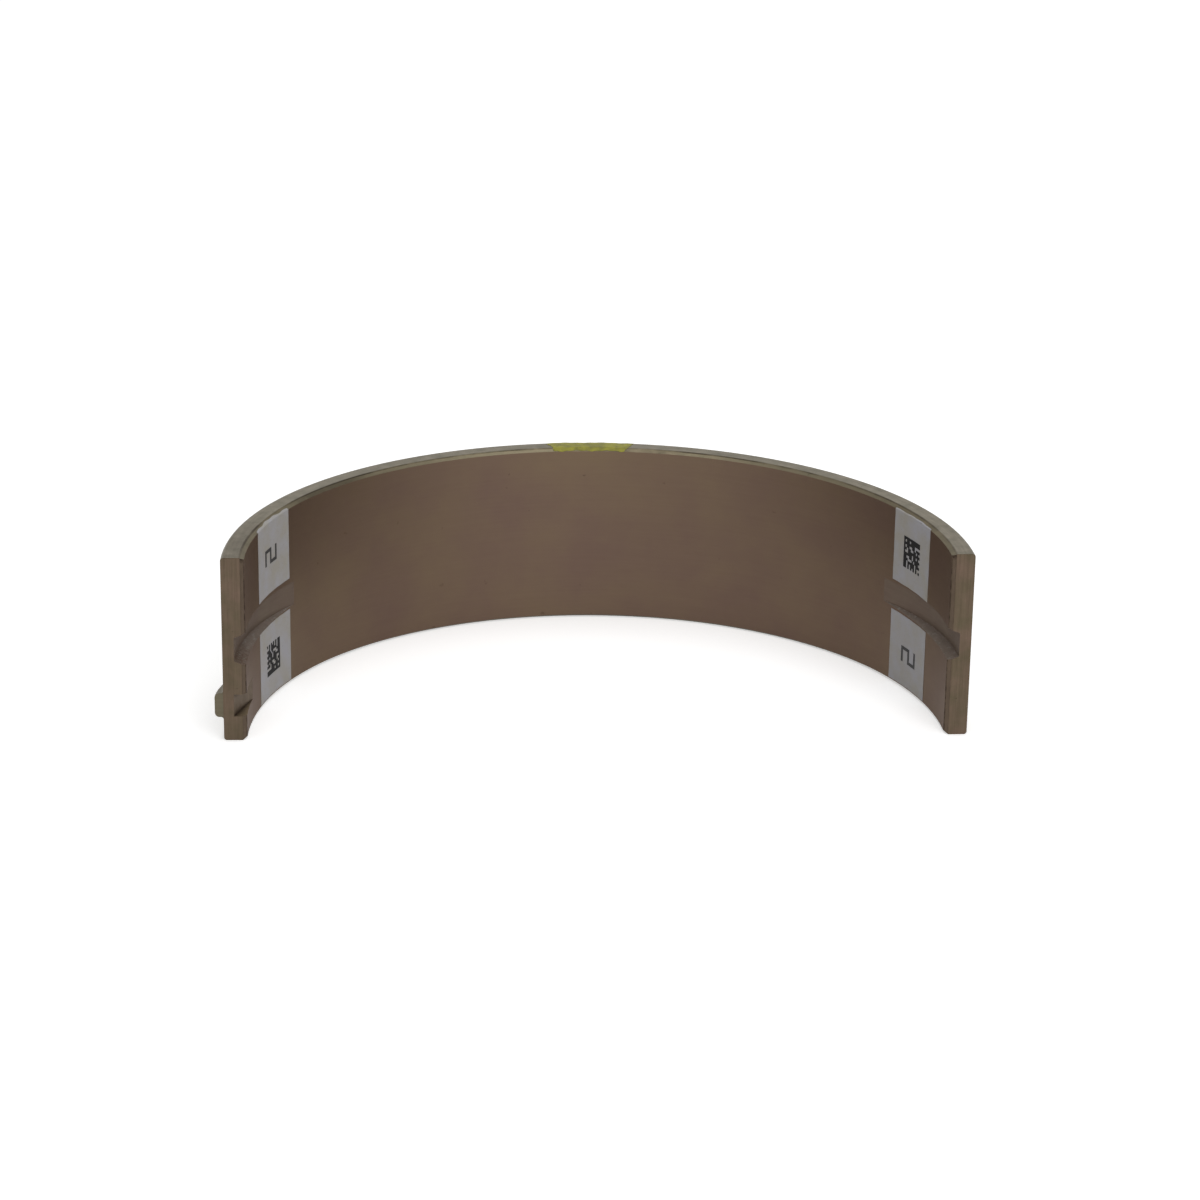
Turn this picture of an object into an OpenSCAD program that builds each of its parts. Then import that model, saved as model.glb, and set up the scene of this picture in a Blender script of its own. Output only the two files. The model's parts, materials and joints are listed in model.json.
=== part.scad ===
// Half shell of a plain engine main bearing, standing on one end.
// The bore axis is Z. The crown points to +Y and both joint faces look to -Y.
// The origin is on the bore axis, half way along the shell. All sizes are in millimetres.

/* [Shell] */
// Diameter of the housing bore that the shell is pressed into
housing_d = 69.5; // [60:0.5:80]
// How much wider than the housing the loose shell springs across its joint faces
free_spread = 0.7; // [0.1:0.1:1.5]
// Wall thickness at the crown
wall_t = 2.2; // [1.8:0.05:3]
// How much thinner the wall is at the joint faces than at the crown
wall_taper = 0.02; // [0:0.01:0.1]
// Length along the bore axis
shell_w = 18.15; // [14:0.05:26]

/* [Edges] */
// Width of the chamfer at each end of the bore, measured across the wall
chamfer_w = 0.45; // [0.1:0.05:0.8]
// Depth of that chamfer along the bore
chamfer_h = 0.27; // [0.1:0.01:0.6]
// Radius along the two edges of the back
back_round = 0.3; // [0.1:0.05:0.6]
// Leg of the bevel where the bore meets a joint face
joint_bevel = 0.38; // [0.1:0.02:0.6]

/* [Oil grooves] */
// Width of a groove in the bore at the joint face
groove_w = 3.2; // [2:0.05:5]
// Slant of the groove's sides, in degrees from square to its floor
groove_slant = 22; // [5:1:30]
// Depth of the groove at the joint face
groove_depth = 1.08; // [0.4:0.02:1.3]
// Angle from the joint face at which the groove has run out
groove_arc = 28; // [15:1:50]

/* [Locating lug] */
// Width of the lug along the bore axis
lug_w = 2.4; // [1.6:0.1:5]
// Distance from the lower end of the shell to the lug
lug_edge = 2.3; // [0.8:0.1:5]
// Height of the lug above the back
lug_h = 0.82; // [0.4:0.02:1.4]
// Distance from the joint face over which the lug slopes down to the back
lug_run = 3.6; // [2:0.1:6]
// How far the front of the lug lies behind the joint face
lug_setback = 0.1; // [0:0.05:0.4]
// Radius of the two long shoulders of the lug
lug_round = 0.45; // [0.1:0.05:0.6]
// Radius of the hollow where the sides of the lug draw out of the back
lug_fillet = 0.25; // [0.05:0.05:0.4]
// Depth of the pressed nick behind the lug, at the joint face
nick_depth = 1.2; // [0.4:0.05:1.6]
// Distance from the joint face over which the nick runs out into the bore
nick_run = 4.5; // [2:0.1:7]
// How much narrower the nick is than the lug, all told
nick_inset = 0.2; // [0:0.05:0.6]

/* [Hidden] */
$fn = 192;
back_r = (housing_d + free_spread) / 2;
bore_r = back_r - wall_t + wall_taper;
// The back keeps its length when the shell springs open, so its arc falls short of a half circle
shell_arc = 180 * housing_d / (housing_d + free_spread);
joint_angle = (180 - shell_arc) / 2;
// Centre and radius of the disc cutter that mills a groove and runs out of the bore
groove_floor_r = bore_r + groove_depth;
cutter_x = (pow(groove_floor_r, 2) - pow(bore_r, 2)) / (2 * (groove_floor_r - bore_r * cos(groove_arc)));
cutter_r = groove_floor_r - cutter_x;
// Width that the slanted sides leave for the groove floor
groove_floor_w = groove_w - 2 * groove_depth * tan(groove_slant);
lug_z = lug_edge + lug_w / 2 - shell_w / 2;
// Radius inside the wall from which the lug grows
root_r = back_r - wall_t / 2;
nick_w = lug_w - nick_inset;
// Overshoot of a cut past the face that it opens
cut = 1;

// Section of the blank in the plane of the axis, reaching inside the bore, with round back edges
module back_section() {
  inner = bore_r - cut;
  flat_r = back_r - back_round;
  translate([inner, -shell_w / 2]) square([flat_r - inner, shell_w]);
  translate([inner, -shell_w / 2 + back_round]) square([back_r - inner, shell_w - 2 * back_round]);
  for (side = [-1, 1])
    translate([flat_r, side * (shell_w / 2 - back_round)]) circle(r = back_round);
}

// Puts its children at a joint face: X runs out through the wall and Y runs along the shell from the face
module at_joint(side) {
  mirror([side < 0 ? 1 : 0, 0, 0])
    rotate([0, 0, joint_angle]) children();
}

// Block on the far side of a joint face from the shell
module under_joint() {
  reach = 2 * (back_r + cut);
  translate([-reach / 2, -reach, -shell_w / 2 - cut]) cube([reach, reach, shell_w + 2 * cut]);
}

// Ring of the back, set towards the crown so that the wall thins to the joint faces, and cut off at both of them
module blank() {
  difference() {
    translate([0, wall_taper, 0]) rotate_extrude() back_section();
    for (side = [-1, 1]) at_joint(side) under_joint();
  }
}

// Bore with a chamfer at each end
module bore() {
  cylinder(r = bore_r, h = shell_w + 2 * cut, center = true);
  for (side = [-1, 1])
    mirror([0, 0, side < 0 ? 1 : 0])
      translate([0, 0, shell_w / 2 - chamfer_h])
        cylinder(r1 = bore_r, r2 = bore_r + chamfer_w * (chamfer_h + cut) / chamfer_h, h = chamfer_h + cut);
}

// Oil groove: the path of a disc cutter with slanted sides, which narrows as it runs out of the bore
module groove() {
  hub_r = cutter_r - groove_depth - cut;
  mouth = groove_w / 2 + cut * tan(groove_slant);
  translate([cutter_x, 0, 0])
    rotate_extrude()
      polygon([
        [0, -mouth],
        [hub_r, -mouth],
        [cutter_r, -groove_floor_w / 2],
        [cutter_r, groove_floor_w / 2],
        [hub_r, mouth],
        [0, mouth]
      ]);
}

// Bevel along the inner edge of a joint face
module bevel() {
  linear_extrude(height = shell_w + 2 * cut, center = true)
    polygon([
      [bore_r + joint_bevel + cut, -cut],
      [bore_r - cut, joint_bevel + cut],
      [bore_r - cut, -cut]
    ]);
}

// Outline of the lug seen along the shell, with round shoulders and a hollow at each side of its root
module lug_front() {
  outer = back_r + lug_h;
  shoulder = lug_w / 2 - lug_round;
  translate([root_r, -lug_w / 2]) square([outer - lug_round - root_r, lug_w]);
  translate([root_r, -shoulder]) square([outer - root_r, 2 * shoulder]);
  for (side = [-1, 1]) {
    translate([outer - lug_round, side * shoulder]) circle(r = lug_round);
    mirror([0, side < 0 ? 1 : 0])
      difference() {
        translate([root_r, 0]) square([back_r + lug_fillet - root_r, lug_w / 2 + lug_fillet]);
        translate([back_r + lug_fillet, lug_w / 2 + lug_fillet]) circle(r = lug_fillet);
      }
  }
}

// Lug: pressed out of the back, highest at the joint face
module lug() {
  translate([0, 0, lug_z])
    intersection() {
      linear_extrude(height = lug_w + 2 * lug_fillet, center = true)
        polygon([
          [root_r, lug_setback],
          [back_r + lug_h, lug_setback],
          [sqrt(pow(back_r, 2) - pow(lug_run, 2)), lug_run],
          [root_r, lug_run]
        ]);
      rotate([90, 0, 0]) mirror([0, 0, 1]) linear_extrude(height = lug_run) lug_front();
    }
}

// Nick: the hollow that the punch leaves in the bore behind the lug
module nick() {
  end_x = sqrt(pow(bore_r, 2) - pow(nick_run, 2));
  slope = (bore_r + nick_depth - end_x) / nick_run;
  translate([0, 0, lug_z])
    linear_extrude(height = nick_w, center = true)
      polygon([
        [bore_r + nick_depth + slope * cut, -cut],
        [end_x - slope * cut, nick_run + cut],
        [end_x - slope * cut, -cut]
      ]);
}

module bearing_shell() {
  color("#6b5a49")
    difference() {
      union() {
        blank();
        at_joint(-1) lug();
      }
      bore();
      for (side = [-1, 1])
        at_joint(side) {
          groove();
          bevel();
        }
      at_joint(-1) nick();
    }
}

bearing_shell();
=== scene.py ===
"""Looks of an engine bearing shell: its finishes, printed bands, paint dab and a plain studio."""

from __future__ import annotations

import json
import logging
import math
from collections.abc import Callable
from dataclasses import dataclass, field
from enum import Enum

import bmesh
import bpy
from mathutils import Matrix, Vector


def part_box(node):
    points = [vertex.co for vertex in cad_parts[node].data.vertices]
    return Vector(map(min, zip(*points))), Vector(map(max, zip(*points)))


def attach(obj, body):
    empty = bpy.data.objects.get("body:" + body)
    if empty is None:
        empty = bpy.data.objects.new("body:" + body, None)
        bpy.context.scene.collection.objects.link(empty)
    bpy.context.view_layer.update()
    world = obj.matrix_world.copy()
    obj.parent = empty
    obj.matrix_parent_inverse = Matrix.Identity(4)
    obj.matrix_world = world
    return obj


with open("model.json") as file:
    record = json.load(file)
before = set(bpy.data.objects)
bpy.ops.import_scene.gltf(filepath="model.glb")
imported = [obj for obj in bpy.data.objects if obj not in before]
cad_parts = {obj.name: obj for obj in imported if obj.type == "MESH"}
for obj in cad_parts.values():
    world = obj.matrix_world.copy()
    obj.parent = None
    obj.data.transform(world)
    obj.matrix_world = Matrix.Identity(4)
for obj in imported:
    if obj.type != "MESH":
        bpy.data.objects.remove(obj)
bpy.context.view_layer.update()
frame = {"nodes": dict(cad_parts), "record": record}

LOG = logging.getLogger("bearing_shell")

MM = 0.001
BODY = "root"
NODE = "bearing_shell"
WHITE = "#FFFFFF"

# Two waves that together pass for a hand's wander: radians per millimetre and per seed, and share
WAVES = ((1.7, 2.3, 0.6), (5.3, 4.1, 0.4))

Cell = tuple[int, int]
Drift = Callable[[float, float], tuple[float, float]]
Socket = bpy.types.NodeSocket


def linear(hex_colour: str) -> tuple[float, float, float, float]:
    """Turns an sRGB colour to the linear one that a shader takes.

    Args:
        hex_colour: A hash and six hex digits.

    Returns:
        Linear red, green and blue, and an alpha of 1.
    """
    channels = [int(hex_colour[k:k + 2], 16) / 255 for k in (1, 3, 5)]
    red, green, blue = (
        c / 12.92 if c <= 0.04045 else ((c + 0.055) / 1.055) ** 2.4 for c in channels)
    return red, green, blue, 1.0


def add_node(
    tree: bpy.types.NodeTree, kind: str, inputs: dict | None = None, **settings: object,
) -> bpy.types.Node:
    """Adds one shader node, with its settings, constants and links.

    Args:
        tree: Node tree that gets the node.
        kind: Blender's name of the node type.
        inputs: Socket name or number, to a constant or to the output socket that feeds it.
        **settings: Attributes of the node itself.

    Returns:
        The new node.
    """
    new = tree.nodes.new(kind)
    for name, value in settings.items():
        setattr(new, name, value)
    for key, value in (inputs or {}).items():
        if isinstance(value, Socket):
            tree.links.new(value, new.inputs[key])
        else:
            new.inputs[key].default_value = value
    return new


def waver(position: float, seed: float) -> float:
    """Gives a smooth wander between -1 and 1 that is the same each run.

    Args:
        position: Place along the edge, in millimetres.
        seed: Any number, so that no two edges wander alike.

    Returns:
        The wander at that place.
    """
    return sum(share * math.sin(pace * position + phase * seed) for pace, phase, share in WAVES)


def spread(low: float, high: float, count: int) -> list[float]:
    """Gives evenly spaced stops.

    Args:
        low: First stop.
        high: Last stop.
        count: Number of steps between them.

    Returns:
        The stops, both ends included.
    """
    return [low + (high - low) * k / count for k in range(count + 1)]


class Zone(Enum):
    """Kinds of surface on the shell, each with a finish of its own."""

    LINING = "lining"
    CHAMFER = "chamfer"
    END = "end"
    JOINT = "joint"
    BEVEL = "bevel"
    GROOVE = "groove"
    FLANK = "flank"
    NICK = "nick"
    WALL = "wall"
    BACK = "back"


class Way(Enum):
    """Ways over the unrolled shell: round the bore, along it, through the wall, in from a joint."""

    ARC = "arc"
    HEIGHT = "height"
    RADIUS = "radius"
    DEPTH = "depth"


class End(Enum):
    """The two ends of the shell's arc, as turns about the crown's axis from the right one."""

    RIGHT = 0.0
    LEFT = math.pi


@dataclass(frozen=True)
class ShellSizes:
    """Sizes of the shell in millimetres, read from the frame or as the solid has them.

    Attributes:
        bore_r: Radius of the bore.
        half_w: Half of the width along the axis.
        back_r: Radius of the back at the crown.
        joint_axis: Direction in which the right joint face looks.
        chamfer_w: Width of the bore's chamfers, across the wall.
        chamfer_h: Height of the chamfers, along the axis.
        bevel: Width of the bevels at the joint faces.
        groove_w: Width of the oil grooves.
    """

    bore_r: float
    half_w: float
    back_r: float
    joint_axis: Vector
    chamfer_w: float = 0.45
    chamfer_h: float = 0.27
    bevel: float = 0.38
    groove_w: float = 3.2

    @classmethod
    def from_frame(cls) -> ShellSizes:
        """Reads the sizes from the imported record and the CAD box.

        Returns:
            The sizes.
        """
        mounts = {mount["name"]: mount for mount in frame["record"]["mounts"]}
        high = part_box(NODE)[1]
        return cls(
            bore_r=mounts["journal_seat"]["dims"]["r_mm"],
            half_w=high.z / MM,
            back_r=high.y / MM,
            joint_axis=Vector(mounts["joint_face_right"]["axis"]),
        )


@dataclass
class SurfacePlace:
    """Where a point of the shell lies, as sockets of one node tree, in millimetres.

    Attributes:
        ways: A socket for each way.
        unrolled: A socket that holds arc, height and radius as a vector.
    """

    ways: dict[Way, Socket]
    unrolled: Socket

    @classmethod
    def on(cls, tree: bpy.types.NodeTree, sizes: ShellSizes) -> SurfacePlace:
        """Adds the nodes that unroll the shell.

        Args:
            tree: Node tree of a material.
            sizes: Sizes of the shell.

        Returns:
            The place, as sockets of that tree.
        """
        place = add_node(tree, "ShaderNodeTexCoord").outputs["Object"]
        scaled = add_node(
            tree, "ShaderNodeVectorMath", {0: place, "Scale": 1 / MM}, operation="SCALE")
        parts = add_node(tree, "ShaderNodeSeparateXYZ", {0: scaled.outputs[0]}).outputs
        side = add_node(tree, "ShaderNodeMath", {0: parts["X"]}, operation="ABSOLUTE").outputs[0]
        flat = add_node(tree, "ShaderNodeCombineXYZ", {"X": side, "Y": parts["Y"]}).outputs[0]
        radius = add_node(
            tree, "ShaderNodeVectorMath", {0: flat}, operation="LENGTH").outputs["Value"]
        depth = add_node(tree, "ShaderNodeVectorMath", {
            0: flat, 1: -sizes.joint_axis}, operation="DOT_PRODUCT").outputs["Value"]
        angle = add_node(tree, "ShaderNodeMath", {
            0: parts["Y"], 1: parts["X"]}, operation="ARCTAN2").outputs[0]
        arc = add_node(tree, "ShaderNodeMath", {
            0: angle, 1: sizes.bore_r}, operation="MULTIPLY").outputs[0]
        unrolled = add_node(tree, "ShaderNodeCombineXYZ", {"X": arc, "Y": parts["Z"], "Z": radius})
        ways = {Way.ARC: arc, Way.HEIGHT: parts["Z"], Way.RADIUS: radius, Way.DEPTH: depth}
        return cls(ways, unrolled.outputs[0])


@dataclass(frozen=True)
class EdgeLine:
    """A dark line or band in a surface's colour.

    Attributes:
        across: Way across which it lies.
        at_mm: Its place that way.
        reach_mm: Distance to either side at which it has faded out.
        strength: Share of the dark colour in its middle.
    """

    across: Way
    at_mm: float
    reach_mm: float
    strength: float


@dataclass(frozen=True)
class MachinedMetal:
    """A cut, pressed or plated metal surface.

    Attributes:
        name: Name of the material.
        colour: Main colour of the metal.
        cast: Colour that its blotches lean to.
        grime_and_shade: Colour of the dark specks, lines and bands, and of the painted shade in
            creases and in some bands.
        roughness: Middle roughness.
        lines_across: Way across which the tool lines repeat.
        line_pitch_mm: Distance between tool lines.
        line_contrast: How far the lines show.
        blotch_mm: Size of the blotches.
        speck_mm: Distance between specks.
        speck_share: How dark the specks are.
        metallic: Share of metal, the rest being oil and oxide.
        edge_tint: Colour that a grazing look tends to.
        crease_shade_mm: How far painted shade reaches out of the corners, found by ambient
            occlusion.
        crease_shade_share: How dark the painted shade is in the corners.
        break_mm: Length of the gaps in the dark lines and bands.
        fleck_share: How far stray flecks of white ink show.
        fleck: Colour of the flecks.
        fleck_mm: Size of the flecks.
        line_stretch: Width of a tool line's noise as a share of its length.
        line_depth_mm: Depth of the tool lines.
        smoother: How far roughness drops in the smoothest blotches.
        rougher: How far it rises in the roughest.
    """

    name: str
    colour: str
    cast: str
    grime_and_shade: str
    roughness: float
    lines_across: Way
    line_pitch_mm: float
    line_contrast: float
    blotch_mm: float
    speck_mm: float
    speck_share: float
    metallic: float = 0.9
    edge_tint: str = WHITE
    crease_shade_mm: float = 0.0
    crease_shade_share: float = 0.9
    break_mm: float = 1.5
    fleck_share: float = 0.0
    fleck: str = "#8E8B84"
    fleck_mm: float = 0.4
    line_stretch: float = 0.04
    line_depth_mm: float = 0.01
    smoother: float = 0.06
    rougher: float = 0.08

    def material(self, sizes: ShellSizes, edge_lines: tuple[EdgeLine, ...]) -> bpy.types.Material:
        """Builds the finish as a node material.

        Args:
            sizes: Sizes of the shell, for the places of lines and patterns.
            edge_lines: Dark lines on the surface.

        Returns:
            The material.
        """
        made = bpy.data.materials.new(self.name)
        made.use_nodes = True
        tree = made.node_tree
        shader = tree.nodes["Principled BSDF"]
        place = SurfacePlace.on(tree, sizes)
        blotch = add_node(tree, "ShaderNodeTexNoise", {
            "Vector": place.unrolled, "Scale": 1 / self.blotch_mm, "Detail": 4.0,
            "Roughness": 0.6}).outputs["Fac"]
        lines = self._tool_lines(tree, place)
        tone = add_node(tree, "ShaderNodeMapRange", {
            "Value": blotch, "From Min": 0.3, "From Max": 0.7})
        base = add_node(tree, "ShaderNodeMix", {
            "Factor": tone.outputs["Result"], "A": linear(self.colour), "B": linear(self.cast)},
            data_type="RGBA")
        lined = add_node(tree, "ShaderNodeMix", {
            "Factor": self.line_contrast, "A": base.outputs["Result"], "B": lines},
            data_type="RGBA", blend_type="SOFT_LIGHT")
        # Dark specks and lines, with painted shade in creases and in some bands
        dirt_and_shade = self._dirt_and_shade(tree, place, edge_lines)
        surface = add_node(tree, "ShaderNodeMix", {
            "Factor": dirt_and_shade, "A": lined.outputs["Result"], "B": linear(self.grime_and_shade)},
            data_type="RGBA").outputs["Result"]
        if self.fleck_share:
            surface = add_node(tree, "ShaderNodeMix", {
                "Factor": self._flecks(tree, place), "A": surface, "B": linear(self.fleck)},
                data_type="RGBA").outputs["Result"]
        tree.links.new(surface, shader.inputs["Base Color"])
        rough = add_node(tree, "ShaderNodeMapRange", {
            "Value": blotch, "To Min": self.roughness - self.smoother,
            "To Max": self.roughness + self.rougher})
        tree.links.new(rough.outputs["Result"], shader.inputs["Roughness"])
        bump = add_node(tree, "ShaderNodeBump", {
            "Height": lines, "Strength": 0.12, "Distance": self.line_depth_mm * MM})
        tree.links.new(bump.outputs["Normal"], shader.inputs["Normal"])
        shader.inputs["Metallic"].default_value = self.metallic
        shader.inputs["Specular Tint"].default_value = linear(self.edge_tint)
        return made

    def _tool_lines(self, tree: bpy.types.NodeTree, place: SurfacePlace) -> Socket:
        """Adds noise stretched along the tool's path.

        Args:
            tree: Node tree of the material.
            place: Coordinates of the surface.

        Returns:
            Socket with the noise, from 0 to 1.
        """
        squeeze = [
            1.0 if way is self.lines_across else self.line_stretch
            for way in (Way.ARC, Way.HEIGHT, Way.RADIUS)]
        squeezed = add_node(tree, "ShaderNodeVectorMath", {
            0: place.unrolled, 1: squeeze}, operation="MULTIPLY")
        return add_node(tree, "ShaderNodeTexNoise", {
            "Vector": squeezed.outputs[0], "Scale": 1 / self.line_pitch_mm, "Detail": 3.0,
            "Roughness": 0.7}).outputs["Fac"]

    def _dirt_and_shade(
        self, tree: bpy.types.NodeTree, place: SurfacePlace, edge_lines: tuple[EdgeLine, ...],
    ) -> Socket:
        """Adds the dark specks, the dark lines and bands, some of them painted shade, and painted
        shade in creases.

        Args:
            tree: Node tree of the material.
            place: Coordinates of the surface.
            edge_lines: Dark lines on the surface.

        Returns:
            Socket with the share of dark colour, from specks, lines and painted shade, from 0 to 1.
        """
        speck = add_node(tree, "ShaderNodeTexNoise", {
            "Vector": place.unrolled, "Scale": 1 / self.speck_mm, "Detail": 2.0})
        dirt_and_shade = add_node(tree, "ShaderNodeMapRange", {
            "Value": speck.outputs["Fac"], "From Min": 0.72, "From Max": 0.8,
            "To Max": self.speck_share}).outputs["Result"]
        breaks = add_node(tree, "ShaderNodeTexNoise", {
            "Vector": place.unrolled, "Scale": 1 / self.break_mm, "Detail": 5.0, "Roughness": 0.6})
        broken = add_node(tree, "ShaderNodeMapRange", {
            "Value": breaks.outputs["Fac"], "From Min": 0.4, "From Max": 0.58, "To Min": 0.2})
        for line in edge_lines:
            away = add_node(tree, "ShaderNodeMath", {
                0: place.ways[line.across], 1: line.at_mm}, operation="SUBTRACT")
            near = add_node(tree, "ShaderNodeMath", {0: away.outputs[0]}, operation="ABSOLUTE")
            band = add_node(tree, "ShaderNodeMapRange", {
                "Value": near.outputs[0], "From Min": line.reach_mm / 2, "From Max": line.reach_mm,
                "To Min": line.strength, "To Max": 0.0})
            patchy = add_node(tree, "ShaderNodeMath", {
                0: band.outputs["Result"], 1: broken.outputs["Result"]}, operation="MULTIPLY")
            dirt_and_shade = add_node(tree, "ShaderNodeMath", {
                0: dirt_and_shade, 1: patchy.outputs[0]}, operation="MAXIMUM").outputs[0]
        # Painted shade: corners darkened by ambient occlusion
        if self.crease_shade_mm:
            lit = add_node(
                tree, "ShaderNodeAmbientOcclusion", {"Distance": self.crease_shade_mm * MM}, samples=8)
            crease_shade = add_node(tree, "ShaderNodeMapRange", {
                "Value": lit.outputs["AO"], "From Min": 0.45, "From Max": 0.85,
                "To Min": self.crease_shade_share, "To Max": 0.0})
            dirt_and_shade = add_node(tree, "ShaderNodeMath", {
                0: dirt_and_shade, 1: crease_shade.outputs["Result"]}, operation="MAXIMUM").outputs[0]
        return dirt_and_shade

    def _flecks(self, tree: bpy.types.NodeTree, place: SurfacePlace) -> Socket:
        """Adds stray flecks of white ink.

        Args:
            tree: Node tree of the material.
            place: Coordinates of the surface.

        Returns:
            Socket with the share of ink, from 0 to 1.
        """
        spray = add_node(tree, "ShaderNodeTexNoise", {
            "Vector": place.unrolled, "Scale": 1 / self.fleck_mm, "Detail": 2.0})
        return add_node(tree, "ShaderNodeMapRange", {
            "Value": spray.outputs["Fac"], "From Min": 0.55, "From Max": 0.7,
            "To Max": self.fleck_share}).outputs["Result"]


@dataclass(frozen=True)
class FilmCoat:
    """A dry film of ink or paint.

    Attributes:
        name: Name of the material.
        colour: Colour where the coat is full.
        thin: Colour where it is thin.
        show_through: Colour of the metal seen through pits in it.
        roughness: Middle roughness.
        mottle_mm: Size of the thick and thin places.
        pit_share: How far the metal shows in the pits.
        gloss: Specular level, below 0.5 for a chalky film.
        pit_mm: Distance between pits.
        pit_depth_mm: Depth of the pits.
        unevenness: How far roughness wanders either way.
    """

    name: str
    colour: str
    thin: str
    show_through: str
    roughness: float
    mottle_mm: float
    pit_share: float
    gloss: float = 0.5
    pit_mm: float = 0.2
    pit_depth_mm: float = 0.02
    unevenness: float = 0.08

    def material(self, sizes: ShellSizes) -> bpy.types.Material:
        """Builds the film as a node material.

        Args:
            sizes: Sizes of the shell, for the scale of the mottling.

        Returns:
            The material.
        """
        made = bpy.data.materials.new(self.name)
        made.use_nodes = True
        tree = made.node_tree
        shader = tree.nodes["Principled BSDF"]
        place = SurfacePlace.on(tree, sizes)
        coat = add_node(tree, "ShaderNodeTexNoise", {
            "Vector": place.unrolled, "Scale": 1 / self.mottle_mm, "Detail": 5.0,
            "Roughness": 0.65})
        full = add_node(tree, "ShaderNodeMapRange", {
            "Value": coat.outputs["Fac"], "From Min": 0.35, "From Max": 0.65})
        film = add_node(tree, "ShaderNodeMix", {
            "Factor": full.outputs["Result"], "A": linear(self.thin), "B": linear(self.colour)},
            data_type="RGBA")
        pits = add_node(tree, "ShaderNodeTexNoise", {
            "Vector": place.unrolled, "Scale": 1 / self.pit_mm, "Detail": 3.0}).outputs["Fac"]
        bare = add_node(tree, "ShaderNodeMapRange", {
            "Value": pits, "From Min": 0.62, "From Max": 0.75, "To Max": self.pit_share})
        shown = add_node(tree, "ShaderNodeMix", {
            "Factor": bare.outputs["Result"], "A": film.outputs["Result"],
            "B": linear(self.show_through)}, data_type="RGBA")
        tree.links.new(shown.outputs["Result"], shader.inputs["Base Color"])
        rough = add_node(tree, "ShaderNodeMapRange", {
            "Value": pits, "To Min": self.roughness - self.unevenness,
            "To Max": self.roughness + self.unevenness})
        tree.links.new(rough.outputs["Result"], shader.inputs["Roughness"])
        bump = add_node(tree, "ShaderNodeBump", {
            "Height": pits, "Strength": 0.15, "Distance": self.pit_depth_mm * MM})
        tree.links.new(bump.outputs["Normal"], shader.inputs["Normal"])
        shader.inputs["Specular IOR Level"].default_value = self.gloss
        return made


# Soft bearing lining, bored and flash plated: a brown satin metal that shows broad, weak gradients.
# Its bored lines are far finer than this and are drawn coarse enough to show.
LINING = MachinedMetal(
    name="plated_bearing_lining", colour="#705F4D", cast="#6B584D", grime_and_shade="#3E3027",
    roughness=0.46, lines_across=Way.HEIGHT, line_pitch_mm=0.25, line_contrast=0.06,
    blotch_mm=9.0, speck_mm=1.0, speck_share=0.4, edge_tint="#DCDADA")

# Chamfer turned after plating: a narrow cut that catches the light from above. Its colour is kept
# dark as painted shade for the dark surroundings it mirrors, and bands of painted shade dull it
# where its highlight fades
CHAMFER = MachinedMetal(
    name="turned_chamfer", colour="#6B6250", cast="#615B4A", grime_and_shade="#2E261D",
    roughness=0.34, lines_across=Way.RADIUS, line_pitch_mm=0.12, line_contrast=0.25,
    blotch_mm=1.5, speck_mm=0.4, speck_share=0.6, edge_tint="#E4E1DA", break_mm=6.0)

# End face of the strip, milled flat: grey steel with faint olive and brown patches, darker towards
# the joints, with painted shade towards its two ends
END_FACE = MachinedMetal(
    name="milled_end_steel", colour="#898275", cast="#736F63", grime_and_shade="#3A3128",
    roughness=0.42, lines_across=Way.RADIUS, line_pitch_mm=0.2, line_contrast=0.4,
    blotch_mm=1.1, speck_mm=0.3, speck_share=0.7, edge_tint="#DAD8D4", break_mm=6.0)

# Joint face, broached along the axis: brown grey with fine straight streaks
JOINT_FACE = MachinedMetal(
    name="broached_joint_steel", colour="#6A594C", cast="#5C5241", grime_and_shade="#33271C",
    roughness=0.45, lines_across=Way.RADIUS, line_pitch_mm=0.22, line_contrast=0.4,
    blotch_mm=2.2, speck_mm=0.4, speck_share=0.5)

# Bevel between the bore and a joint face: a scraped edge with dark lines along its edges and a dark
# band at its top end
BEVEL = MachinedMetal(
    name="scraped_bevel", colour="#625447", cast="#5B4E41", grime_and_shade="#2C2018",
    roughness=0.48, lines_across=Way.RADIUS, line_pitch_mm=0.1, line_contrast=0.2,
    blotch_mm=1.2, speck_mm=0.5, speck_share=0.4, break_mm=0.8)

# Floor of an oil groove, cut by a disc through the lining: greyer than the bore, oily at its mouth
GROOVE = MachinedMetal(
    name="milled_groove_floor", colour="#6B5E51", cast="#695A50", grime_and_shade="#4A2F18",
    roughness=0.5, lines_across=Way.HEIGHT, line_pitch_mm=0.2, line_contrast=0.15,
    blotch_mm=2.5, speck_mm=0.5, speck_share=0.3, break_mm=0.4)

# Sides of an oil groove: the same cut, painted paler than the floor to offset the dark reflection
# they show, and specked with stray ink from the marking
FLANK = MachinedMetal(
    name="milled_groove_side", colour="#7F736B", cast="#746A60", grime_and_shade="#54361A",
    roughness=0.55, lines_across=Way.RADIUS, line_pitch_mm=0.2, line_contrast=0.15,
    blotch_mm=1.0, speck_mm=0.5, speck_share=0.5, fleck_share=0.6, break_mm=0.4)

# Nick left by the lug punch: torn metal, with painted shade darkening its corners
NICK = MachinedMetal(
    name="pressed_nick_steel", colour="#706253", cast="#66594B", grime_and_shade="#30241A",
    roughness=0.62, lines_across=Way.ARC, line_pitch_mm=0.2, line_contrast=0.3,
    blotch_mm=0.8, speck_mm=0.4, speck_share=0.6, crease_shade_mm=0.9)

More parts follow.
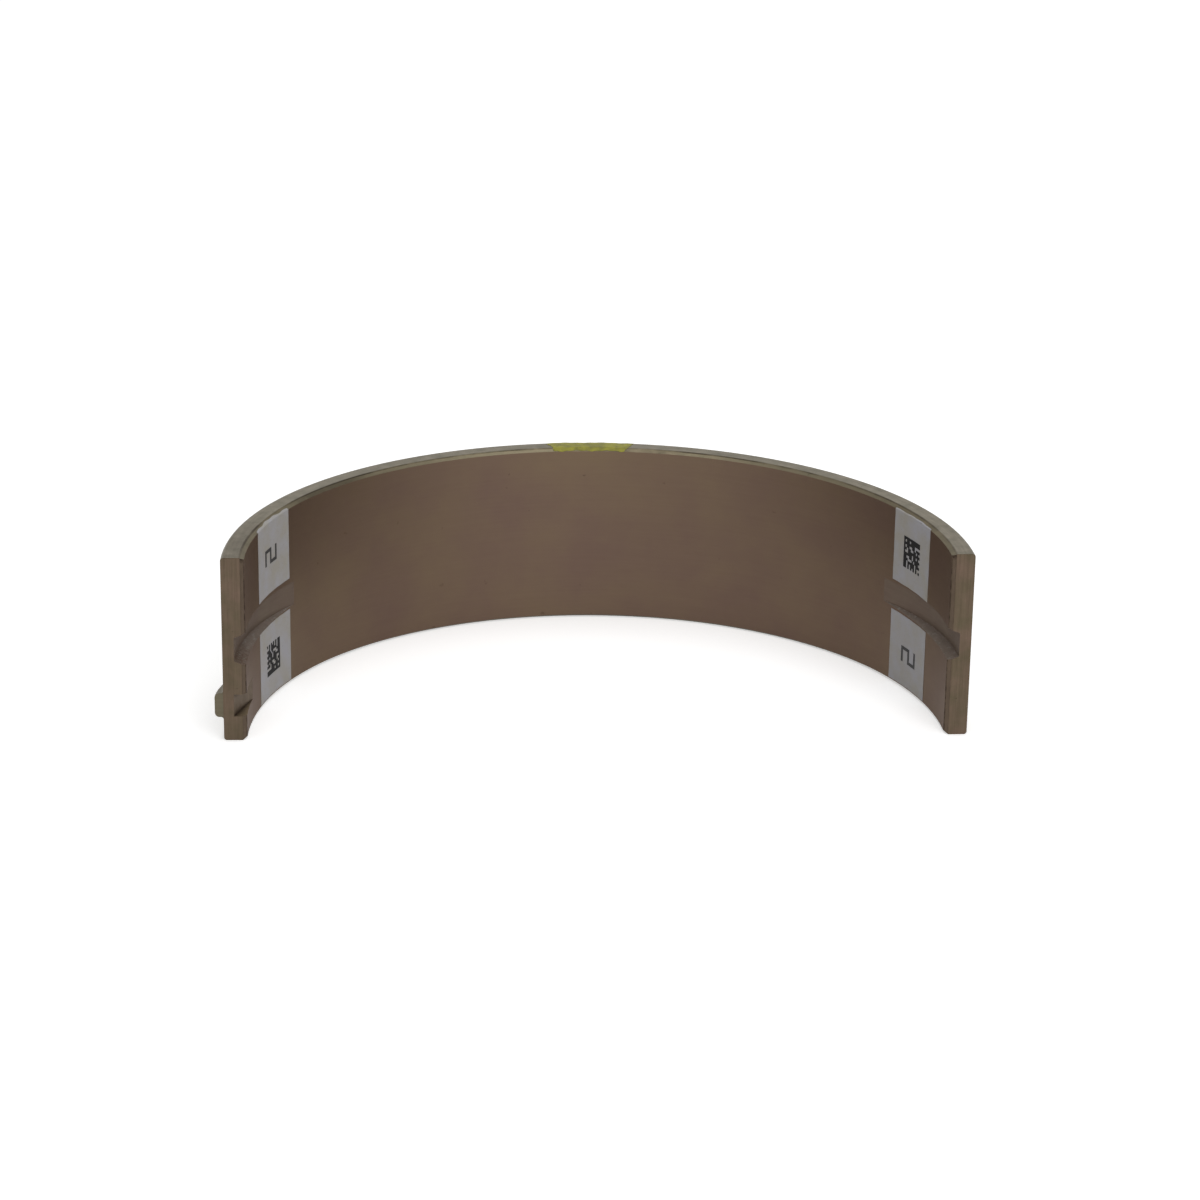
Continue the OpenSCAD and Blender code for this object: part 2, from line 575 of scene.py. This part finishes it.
# Walls of that nick, sheared by the punch: painted paler to lift the shade they sit in, with
# painted shade in the crease at their foot
NICK_WALL = MachinedMetal(
    name="sheared_nick_wall", colour="#8F8069", cast="#7B6C57", grime_and_shade="#30241A",
    roughness=0.62, lines_across=Way.HEIGHT, line_pitch_mm=0.2, line_contrast=0.3,
    blotch_mm=0.6, speck_mm=0.3, speck_share=0.7, crease_shade_mm=0.8)

# Steel back, rolled and flash plated: olive grey, its fine lines drawn coarse enough to show
BACK = MachinedMetal(
    name="plated_steel_back", colour="#6B6451", cast="#655E50", grime_and_shade="#40372D",
    roughness=0.4, lines_across=Way.HEIGHT, line_pitch_mm=0.3, line_contrast=0.2,
    blotch_mm=7.0, speck_mm=0.8, speck_share=0.3)

# White marking ink, rolled on: a matt, slightly uneven pale grey with cream where it is thin
WHITE_INK = FilmCoat(
    name="white_marking_ink", colour="#9A999E", thin="#96928A", show_through="#7A736B",
    roughness=0.6, mottle_mm=2.5, pit_share=0.3)

# Black jet ink, one pass, as in the digits: matt and a little broken
BLACK_INK = FilmCoat(
    name="black_jet_ink", colour="#1B1B1C", thin="#2B2A2A", show_through="#5A5856",
    roughness=0.6, mottle_mm=0.6, pit_share=0.5)

# Black jet ink, dots printed close, as in the code squares: darker and dead matt
DENSE_INK = FilmCoat(
    name="dense_jet_ink", colour="#131314", thin="#1D1D1D", show_through="#454342",
    roughness=0.7, mottle_mm=0.6, pit_share=0.35, gloss=0.2)

# Yellow marking paint, dabbed by hand: greenish and thin in places, so the steel shows through
YELLOW_PAINT = FilmCoat(
    name="yellow_marking_paint", colour="#969228", thin="#6E6A26", show_through="#4F4A2E",
    roughness=0.6, mottle_mm=0.8, pit_share=0.7, gloss=0.4)


@dataclass
class BearingShell:
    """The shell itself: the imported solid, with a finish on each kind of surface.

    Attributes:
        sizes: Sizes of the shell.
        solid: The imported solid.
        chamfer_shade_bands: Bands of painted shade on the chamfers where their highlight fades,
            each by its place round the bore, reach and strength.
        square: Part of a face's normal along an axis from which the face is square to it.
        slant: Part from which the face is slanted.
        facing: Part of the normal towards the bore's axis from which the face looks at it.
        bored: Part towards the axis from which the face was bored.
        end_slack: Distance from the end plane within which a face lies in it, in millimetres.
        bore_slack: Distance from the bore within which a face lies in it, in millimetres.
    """

    sizes: ShellSizes
    solid: bpy.types.Object = field(default_factory=lambda: frame["nodes"][NODE])
    chamfer_shade_bands: tuple[tuple[float, float, float], ...] = (
        (8.0, 14.0, 0.25), (46.0, 5.0, 0.5), (81.0, 7.0, 0.5))
    square: float = 0.99
    slant: float = 0.1
    facing: float = 0.9
    bored: float = 0.9985
    end_slack: float = 0.01
    bore_slack: float = 0.05

    def finishes(self) -> dict[Zone, MachinedMetal]:
        """Gives each kind of surface its finish.

        Returns:
            The finishes, in the order of the solid's material slots.
        """
        return {
            Zone.LINING: LINING, Zone.CHAMFER: CHAMFER, Zone.END: END_FACE, Zone.JOINT: JOINT_FACE,
            Zone.BEVEL: BEVEL, Zone.GROOVE: GROOVE, Zone.FLANK: FLANK, Zone.NICK: NICK,
            Zone.WALL: NICK_WALL, Zone.BACK: BACK,
        }

    def edge_lines(self) -> dict[Zone, tuple[EdgeLine, ...]]:
        """Tells where dark lines and bands lie on each kind of surface, painted shade among them.

        Returns:
            The dark lines and bands of each kind that has them.
        """
        sizes = self.sizes
        chamfer_r = sizes.bore_r + sizes.chamfer_w
        bevel_r = sizes.bore_r + sizes.bevel
        right_end, left_end = 0.0, math.pi * sizes.bore_r
        joint_plane = 0.0
        return {
            Zone.LINING: (EdgeLine(Way.DEPTH, sizes.bevel, 0.1, 0.6),),
            Zone.CHAMFER: (
                EdgeLine(Way.RADIUS, chamfer_r, 0.18, 0.85),
                # Painted shade: bands where the chamfer's highlight fades, and darker towards the
                # left end
                *(EdgeLine(Way.ARC, *band) for band in self.chamfer_shade_bands),
                EdgeLine(Way.ARC, left_end, 8.0, 0.2),
            ),
            Zone.END: (
                EdgeLine(Way.RADIUS, chamfer_r, 0.12, 0.85),
                EdgeLine(Way.DEPTH, joint_plane, 3.0, 0.5),
                # Painted shade: darker towards the left and the right end
                EdgeLine(Way.ARC, left_end, 14.0, 0.35),
                EdgeLine(Way.ARC, right_end, 10.0, 0.2),
            ),
            Zone.JOINT: (
                EdgeLine(Way.RADIUS, bevel_r, 0.07, 0.3),
                EdgeLine(Way.HEIGHT, sizes.half_w, 0.08, 0.6),
            ),
            Zone.GROOVE: (
                EdgeLine(Way.ARC, left_end, 6.5, 0.45),
                EdgeLine(Way.ARC, right_end, 6.5, 0.1),
            ),
            Zone.FLANK: (
                EdgeLine(Way.ARC, left_end, 6.0, 0.75),
                EdgeLine(Way.ARC, right_end, 6.0, 0.2),
            ),
            Zone.BEVEL: (
                EdgeLine(Way.DEPTH, sizes.bevel, 0.12, 0.85),
                EdgeLine(Way.DEPTH, joint_plane, 0.07, 0.3),
                EdgeLine(Way.HEIGHT, sizes.half_w - sizes.chamfer_h, 0.35, 0.9),
            ),
        }

    def zone_of(self, face: bpy.types.MeshPolygon) -> Zone:
        """Tells what kind of surface a face of the solid belongs to.

        Args:
            face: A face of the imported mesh.

        Returns:
            Its zone.
        """
        sizes = self.sizes
        place = face.center / MM
        radius = math.hypot(place.x, place.y)
        outward = (face.normal.x * place.x + face.normal.y * place.y) / radius
        rise = abs(face.normal.z)
        from_end = sizes.half_w - abs(place.z)
        inside = radius < sizes.back_r
        if rise > self.square and from_end < self.end_slack:
            return Zone.END
        if rise > self.square:
            return Zone.WALL if inside else Zone.BACK
        if from_end < sizes.chamfer_h and rise > self.slant:
            return Zone.CHAMFER if outward < 0 else Zone.BACK
        if outward > -self.slant:
            return Zone.JOINT if face.normal.y < -self.square and inside else Zone.BACK
        if outward > -self.facing and rise < self.slant:
            return Zone.BEVEL
        in_bore = outward < -self.bored and radius < sizes.bore_r + self.bore_slack
        if not in_bore and abs(place.z) < sizes.groove_w / 2:
            return Zone.FLANK if rise > self.slant else Zone.GROOVE
        return Zone.LINING if in_bore else Zone.NICK

    def dress(self) -> None:
        """Puts the finishes on the faces of the solid."""
        mesh = self.solid.data
        mesh.materials.clear()
        lines = self.edge_lines()
        slots: dict[Zone, int] = {}
        for slot, (zone, finish) in enumerate(self.finishes().items()):
            mesh.materials.append(finish.material(self.sizes, lines.get(zone, ())))
            slots[zone] = slot
        for face in mesh.polygons:
            face.material_index = slots[self.zone_of(face)]
        LOG.info("dressed %s with %d finishes", NODE, len(mesh.materials))


@dataclass
class Skin:
    """The bore, the chamfer and the end face as one sheet, on which films of ink and paint lie."""

    sizes: ShellSizes

    def section(self) -> list[Vector]:
        """Gives the corners of the sheet's section.

        Returns:
            Radius and height of each corner, from mid-width to the back edge.
        """
        sizes = self.sizes
        return [
            Vector((sizes.bore_r, 0)),
            Vector((sizes.bore_r, sizes.half_w - sizes.chamfer_h)),
            Vector((sizes.bore_r + sizes.chamfer_w, sizes.half_w)),
            Vector((sizes.back_r, sizes.half_w)),
        ]

    def bends(self) -> tuple[float, float]:
        """Finds the two edges of the chamfer.

        Returns:
            Their distances from mid-width along the section.
        """
        sizes = self.sizes
        foot = sizes.half_w - sizes.chamfer_h
        return foot, foot + math.hypot(sizes.chamfer_w, sizes.chamfer_h)

    def stops(self, low: float, high: float, count: int) -> list[float]:
        """Gives stops along the section, with one at each bend between the two ends.

        Args:
            low: First distance from mid-width, negative below it.
            high: Last distance.
            count: Number of even steps.

        Returns:
            The stops in rising order.
        """
        bends = (math.copysign(bend, low + high) for bend in self.bends())
        return sorted({*spread(low, high, count), *(bend for bend in bends if low < bend < high)})

    def point(self, arc: float, along: float, lift: float) -> Vector:
        """Finds a point over the sheet.

        Args:
            arc: Distance round the bore from the +X side, in millimetres.
            along: Distance from mid-width along the section, negative below it, in millimetres.
            lift: Height over the metal, in millimetres.

        Returns:
            The point in the frame, in metres.
        """
        left = abs(along)
        corners = self.section()
        for start, stop in zip(corners, corners[1:]):
            run = stop - start
            if left <= run.length or stop is corners[-1]:
                break
            left -= run.length
        step = run.normalized()
        over = start + step * left + Vector((-step.y, step.x)) * lift
        angle = arc / self.sizes.bore_r
        height = math.copysign(over.y, along)
        return Vector((over.x * math.cos(angle), over.x * math.sin(angle), height)) * MM


@dataclass
class Film:
    """A thin film on the skin, made of the filled cells of a grid.

    Attributes:
        name: Name of the piece.
        skin: Sheet that it lies on.
        arcs: Grid lines round the bore, in millimetres from the +X side.
        alongs: Grid lines along the section, in millimetres from mid-width.
        filled: Tells whether the cell in a column and row has ink.
        drift: Moves a point of the grid, for uneven edges.
        end: End of the shell that it is on.
        lift: Height of its face over the metal, in millimetres.
        sink: Depth of its back in the metal, in millimetres.
    """

    name: str
    skin: Skin
    arcs: list[float]
    alongs: list[float]
    filled: Callable[[int, int], bool] = lambda column, row: True
    drift: Drift = lambda arc, along: (arc, along)
    end: End = End.RIGHT
    lift: float = 0.03
    sink: float = 0.03

    def build(self, coat: bpy.types.Material) -> None:
        """Builds the film as one closed mesh that rides on the shell, and coats it.

        Args:
            coat: Its material.
        """
        columns, rows = len(self.arcs) - 1, len(self.alongs) - 1
        cells = {(i, j) for i in range(columns) for j in range(rows) if self.filled(i, j)}
        made = bmesh.new()
        corners: dict[tuple, bmesh.types.BMVert] = {}
        for cell in sorted(cells):
            i, j = cell
            ring = [(i, j), (i + 1, j), (i + 1, j + 1), (i, j + 1)]
            front = [self._corner(made, corners, cells, cell, at, self.lift) for at in ring]
            rear = [self._corner(made, corners, cells, cell, at, -self.sink) for at in ring]
            made.faces.new(front)
            made.faces.new(rear[::-1])
            for k, beside in enumerate([(i, j - 1), (i + 1, j), (i, j + 1), (i - 1, j)]):
                if beside not in cells:
                    n = (k + 1) % 4
                    made.faces.new([front[n], front[k], rear[k], rear[n]])
        bmesh.ops.recalc_face_normals(made, faces=made.faces)
        mesh = bpy.data.meshes.new(self.name)
        made.to_mesh(mesh)
        made.free()
        mesh.transform(Matrix.Rotation(self.end.value, 4, "Y"))
        mesh.materials.append(coat)
        piece = bpy.data.objects.new(self.name, mesh)
        bpy.context.scene.collection.objects.link(piece)
        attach(piece, BODY)
        LOG.info("laid %s in %s", self.name, coat.name)

    def _corner(
        self, made: bmesh.types.BMesh, corners: dict[tuple, bmesh.types.BMVert],
        cells: set[Cell], cell: Cell, at: Cell, lift: float,
    ) -> bmesh.types.BMVert:
        """Finds or makes a corner of a cell, kept apart where two cells meet only at that corner.

        Args:
            made: Mesh in the making.
            corners: Corners made so far.
            cells: The filled cells.
            cell: The cell that asks.
            at: Column and row of the corner.
            lift: Height over the metal.

        Returns:
            The vertex.
        """
        i, j = cell
        across = (2 * at[0] - 1 - i, 2 * at[1] - 1 - j)
        touching = (
            across in cells and (across[0], j) not in cells and (i, across[1]) not in cells)
        key = (at, lift, cell if touching else None)
        if key not in corners:
            place = self.drift(self.arcs[at[0]], self.alongs[at[1]])
            corners[key] = made.verts.new(self.skin.point(*place, lift))
        return corners[key]


@dataclass
class PrintedBand:
    """The marking across the bore near a joint face: two white patches, a digit and a code square.

    All its sizes are in millimetres.

    Attributes:
        skin: Sheet that it lies on.
        end: End of the shell that it is on.
        start: Distance round the bore at which the patches start.
        stop: Distance at which they stop.
        digit_patch: Reach of the digit's patch along the section, from mid-width.
        code_patch: Reach of the code's patch.
        ragged: How unevenly ink runs over the chamfer.
        lean: How far the edges beside the groove drift along the axis from start to stop.
        mark_start: Distance round the bore at which the marks start.
        mark_lift: Height of the marks over the metal.
        digit_size: Height and width of the digit.
        digit_middle: Middle of the digit along the section.
        digit_stroke: Width of its strokes.
        code_size: Side of the code square.
        code_middle: Middle of the code square along the section.
        code_cells: Cells along a side of the code square.
        patch_grid: Steps of a patch round the bore and along the section.
        side_wander: How far the sides of a patch wander.
        edge_wander: How far its other edges wander.
        edge_pace: How quickly those edges wander, as a share of the sides' pace.
        ragged_at: Distance past the chamfer's foot at which ink is as uneven as `ragged` says.
    """

    skin: Skin
    end: End
    start: float
    stop: float
    digit_patch: tuple[float, float]
    code_patch: tuple[float, float]
    ragged: float
    lean: float
    mark_start: float = 10.3
    mark_lift: float = 0.05
    digit_size: tuple[float, float] = (2.8, 1.6)
    digit_middle: float = -5.45
    digit_stroke: float = 0.33
    code_size: float = 3.15
    code_middle: float = 5.0
    code_cells: int = 12
    patch_grid: tuple[int, int] = (40, 24)
    side_wander: float = 0.015
    edge_wander: float = 0.02
    edge_pace: float = 0.6
    ragged_at: float = 0.2

    def build(
        self, white: bpy.types.Material, black: bpy.types.Material, dense: bpy.types.Material,
    ) -> None:
        """Builds the films of the band.

        Args:
            white: Ink of the patches.
            black: Ink of the digit.
            dense: Ink of the code square.
        """
        side = self.end.name.lower()
        self._patch(f"white_patch_{side}_digit", self.digit_patch).build(white)
        self._patch(f"white_patch_{side}_code", self.code_patch).build(white)
        self._digit(f"size_digit_{side}").build(black)
        self._code(f"code_square_{side}").build(dense)

    def _patch(self, name: str, reach: tuple[float, float]) -> Film:
        """Lays out one white patch.

        Args:
            name: Name of the piece.
            reach: Its two edges along the section.

        Returns:
            The film.
        """
        foot = self.skin.bends()[0]
        seed = reach[0] + self.end.value
        round_steps, along_steps = self.patch_grid

        def drift(arc: float, along: float) -> tuple[float, float]:
            """Leans the edge beside the groove and lets all edges wander, most on the chamfer.

            Args:
                arc: Distance round the bore.
                along: Distance along the section.

            Returns:
                The two distances after the drift.
            """
            lean = self.lean * (arc - self.start) / (self.stop - self.start)
            lean *= 1 - abs(along) / foot
            over = max(0.0, abs(along) - foot) * self.ragged / self.ragged_at
            wander = (self.edge_wander + over) * waver(self.edge_pace * arc, seed)
            return arc + self.side_wander * waver(along, seed), along + lean + wander

        return Film(
            name, self.skin, spread(self.start, self.stop, round_steps),
            self.skin.stops(*reach, along_steps), drift=drift, end=self.end)

    def _digit(self, name: str) -> Film:
        """Lays out a block digit 2 with its top to the crown.

        Args:
            name: Name of the piece.

        Returns:
            The film.
        """
        tall, wide = self.digit_size
        bar, gap = self.digit_stroke, (tall - 3 * self.digit_stroke) / 2
        foot = self.mark_start
        rows = [
            foot, foot + bar, foot + bar + gap, foot + 2 * bar + gap,
            foot + tall - bar, foot + tall]
        left = self.digit_middle - wide / 2
        columns = [left, left + bar, left + wide - bar, left + wide]
        strokes = ("###", "#..", "###", "..#", "###")
        return Film(
            name, self.skin, rows, columns, lambda i, j: strokes[i][j] == "#",
            end=self.end, lift=self.mark_lift, sink=0.0)

    def _code(self, name: str) -> Film:
        """Lays out a code square that says nothing: two solid edges, two dotted ones and filler.

        Args:
            name: Name of the piece.

        Returns:
            The film.
        """
        last = self.code_cells - 1

        def filled(i: int, j: int) -> bool:
            """Tells whether a cell is inked, inside the edges by a rule that only scatters.

            Args:
                i: Place of the cell round the bore.
                j: Place of the cell along the section.

            Returns:
                Whether it has ink.
            """
            if i == last or j == last:
                return True
            if i == 0 or j == 0:
                return (i + j) % 2 == 0
            return (i * i * 7 + j * j * 5 + i * j * 3 + 4 * i + 9 * j) % 17 < 11

        low = self.code_middle - self.code_size / 2
        return Film(
            name, self.skin,
            spread(self.mark_start, self.mark_start + self.code_size, self.code_cells),
            spread(low, low + self.code_size, self.code_cells), filled,
            end=self.end, lift=self.mark_lift, sink=0.0)


@dataclass
class PaintDab:
    """A dab of yellow paint over the chamfer and the upper end face at the crown.

    All its sizes are in millimetres.

    Attributes:
        skin: Sheet that it lies on.
        left: Reach to the left of the crown on the end face.
        right: Reach to the right.
        inner: Distance from the chamfer's foot at which it starts.
        outer: Distance from the chamfer's foot at which it stops.
        lean: How far its left end leans in towards the bore, and the right one in proportion.
        grid: Steps round the bore and along the section.
        end_wander: How far its two ends wander.
        edge_wander: How far its other edges wander.
        end_seed: Seed of the wander of its ends.
        edge_seed: Seed of the wander of its other edges.
    """

    skin: Skin
    left: float = 3.4
    right: float = 5.05
    inner: float = 0.06
    outer: float = 2.0
    lean: float = 0.55
    grid: tuple[int, int] = (48, 14)
    end_wander: float = 0.12
    edge_wander: float = 0.08
    end_seed: float = 1.3
    edge_seed: float = 5.0

    def build(self, paint: bpy.types.Material) -> None:
        """Builds the dab.

        Args:
            paint: Its material.
        """
        crown = self.skin.sizes.bore_r * math.pi / 2
        foot = self.skin.bends()[0]
        round_steps, along_steps = self.grid

        def drift(arc: float, along: float) -> tuple[float, float]:
            """Leans the ends in and lets the edges wander.

            Args:
                arc: Distance round the bore.
                along: Distance along the section.

            Returns:
                The two distances after the drift.
            """
            lean = (
                self.lean * (arc - crown) / self.left
                * (foot + self.outer - along) / (self.outer - self.inner))
            return (
                arc - lean + self.end_wander * waver(2 * along, self.end_seed),
                along + self.edge_wander * waver(arc, self.edge_seed + along),
            )

        film = Film(
            "paint_dab", self.skin, spread(crown - self.right, crown + self.left, round_steps),
            self.skin.stops(foot + self.inner, foot + self.outer, along_steps), drift=drift)
        film.build(paint)


def sight_mix(tree: bpy.types.NodeTree, seen: float, mirrored: float, other: float) -> Socket:
    """Adds nodes that give a strength by the kind of ray.

    Args:
        tree: Node tree of the floor or the surround.
        seen: Strength for the camera's own rays.
        mirrored: Strength for rays by way of gloss or glass.
        other: Strength for rays that only bring light.

    Returns:
        Socket with the strength.
    """
    path = add_node(tree, "ShaderNodeLightPath").outputs
    bounced = add_node(tree, "ShaderNodeMath", {
        0: path["Is Glossy Ray"], 1: path["Is Transmission Ray"]}, operation="MAXIMUM")
    beyond = add_node(tree, "ShaderNodeMapRange", {
        "Value": bounced.outputs[0], "To Min": other, "To Max": mirrored}).outputs["Result"]
    return add_node(tree, "ShaderNodeMapRange", {
        "Value": path["Is Camera Ray"], "To Min": beyond, "To Max": seen}).outputs["Result"]


@dataclass(frozen=True)
class Softbox:
    """A square soft lamp that looks at the shell.

    Attributes:
        name: Name of the lamp.
        place: Where it hangs, in metres.
        size: Its side, in metres.
        power: Its power, in watts.
    """

    name: str
    place: tuple[float, float, float]
    size: float
    power: float

    def build(self) -> None:
        """Hangs the lamp."""
        data = bpy.data.lights.new(self.name, "AREA")
        data.size = self.size
        data.energy = self.power
        lamp = bpy.data.objects.new(self.name, data)
        lamp.location = self.place
        lamp.rotation_euler = (-Vector(self.place)).to_track_quat("-Z", "Y").to_euler()
        bpy.context.scene.collection.objects.link(lamp)


@dataclass(frozen=True)
class Viewpoint:
    """The photograph's view.

    Attributes:
        eye: Place of the eye, in millimetres.
        azimuth: Turn about the vertical, in degrees.
        elevation: Height of the look, in degrees.
        roll: Tilt of the picture, in degrees.
        lens: Focal length, in millimetres.
        near: Distance at which the view starts, in metres.
    """

    eye: tuple[float, float, float] = (-18.55, -314.04, 121.12)
    azimuth: float = -3.384
    elevation: float = 20.271
    roll: float = 0.826
    lens: float = 108.253
    near: float = 0.01

    def build(self) -> None:
        """Sets the camera."""
        angles = (self.azimuth, self.elevation, self.roll)
        azimuth, elevation, roll = (math.radians(angle) for angle in angles)
        away = math.cos(elevation)
        back = Vector((math.sin(azimuth) * away, -math.cos(azimuth) * away, math.sin(elevation)))
        level = Vector((0, 0, 1)).cross(back).normalized()
        upright = back.cross(level)
        right = level * math.cos(roll) + upright * math.sin(roll)
        turn = Matrix((right, back.cross(right), back)).transposed().to_4x4()
        data = bpy.data.cameras.new("camera")
        data.lens = self.lens
        data.clip_start = self.near
        camera = bpy.data.objects.new("camera", data)
        camera.matrix_world = Matrix.Translation(Vector(self.eye) * MM) @ turn
        bpy.context.scene.collection.objects.link(camera)
        bpy.context.scene.camera = camera


@dataclass
class Studio:
    """A white floor, a white surround, two soft lamps and the camera.

    Attributes:
        sizes: Sizes of the shell, for the level of the floor.
        floor_size: Side of the floor, in metres.
        floor_colour: Colour of its paper.
        floor_glow: Light that the camera sees in it beyond what the lamps give.
        mirrored_glow: The same in reflections.
        surround: Strength of the surround to the eye and in reflections.
        fill_light: Strength of the surround as a light.
        view: The camera's view.
        lamps: The soft lamps.
    """

    sizes: ShellSizes
    floor_size: float = 6.0
    floor_colour: str = "#F2F2F2"
    floor_glow: float = 0.45
    mirrored_glow: float = 0.3
    surround: float = 1.0
    fill_light: float = 0.55
    view: Viewpoint = Viewpoint()
    lamps: tuple[Softbox, ...] = (
        Softbox("overhead_softbox", (0.03, 0.08, 0.55), 0.3, 0.55),
        Softbox("front_softbox", (0.22, -0.62, 0.35), 0.5, 1.7),
    )

    def build(self) -> None:
        """Builds the floor, the surround, the lamps and the camera."""
        self._floor()
        self._surround()
        for lamp in self.lamps:
            lamp.build()
        self.view.build()

    def _floor(self) -> None:
        """Builds a floor of white paper under the shell, which keeps the shell's shadow."""
        half = self.floor_size / 2
        level = -self.sizes.half_w * MM
        mesh = bpy.data.meshes.new("floor")
        corners = [
            (-half, -half, level), (half, -half, level), (half, half, level), (-half, half, level)]
        mesh.from_pydata(corners, [], [(0, 1, 2, 3)])
        made = bpy.data.materials.new("white_paper")
        made.use_nodes = True
        tree = made.node_tree
        tree.nodes.clear()
        glow = sight_mix(tree, self.floor_glow, self.mirrored_glow, 0.0)
        paper = add_node(tree, "ShaderNodeBsdfDiffuse", {"Color": linear(self.floor_colour)})
        bright = add_node(tree, "ShaderNodeEmission", {"Color": linear(WHITE), "Strength": glow})
        both = add_node(tree, "ShaderNodeAddShader", {0: paper.outputs[0], 1: bright.outputs[0]})
        add_node(tree, "ShaderNodeOutputMaterial", {"Surface": both.outputs[0]})
        mesh.materials.append(made)
        floor = bpy.data.objects.new("floor", mesh)
        bpy.context.scene.collection.objects.link(floor)

    def _surround(self) -> None:
        """Makes the world white to the eye and in reflections, and a plain soft light otherwise."""
        world = bpy.data.worlds.new("white_surround")
        world.use_nodes = True
        tree = world.node_tree
        tree.nodes.clear()
        strength = sight_mix(tree, self.surround, self.surround, self.fill_light)
        light = add_node(tree, "ShaderNodeBackground", {
            "Color": linear(WHITE), "Strength": strength})
        add_node(tree, "ShaderNodeOutputWorld", {"Surface": light.outputs[0]})
        bpy.context.scene.world = world


def main() -> None:
    """Dresses the shell, prints and paints its marks and sets the studio."""
    logging.basicConfig(level=logging.INFO, format="%(message)s")
    bpy.context.scene.view_settings.view_transform = "Standard"
    sizes = ShellSizes.from_frame()
    skin = Skin(sizes)
    inks = [ink.material(sizes) for ink in (WHITE_INK, BLACK_INK, DENSE_INK)]
    BearingShell(sizes).dress()
    PrintedBand(
        skin, End.RIGHT, start=8.15, stop=15.2, digit_patch=(-8.7, -1.6), code_patch=(1.5, 8.92),
        ragged=0.04, lean=0.1).build(*inks)
    PrintedBand(
        skin, End.LEFT, start=8.3, stop=15.75, digit_patch=(-9.05, -1.67), code_patch=(1.48, 8.7),
        ragged=0.07, lean=-0.12).build(*inks)
    PaintDab(skin).build(YELLOW_PAINT.material(sizes))
    Studio(sizes).build()


if __name__ == "__main__":
    main()
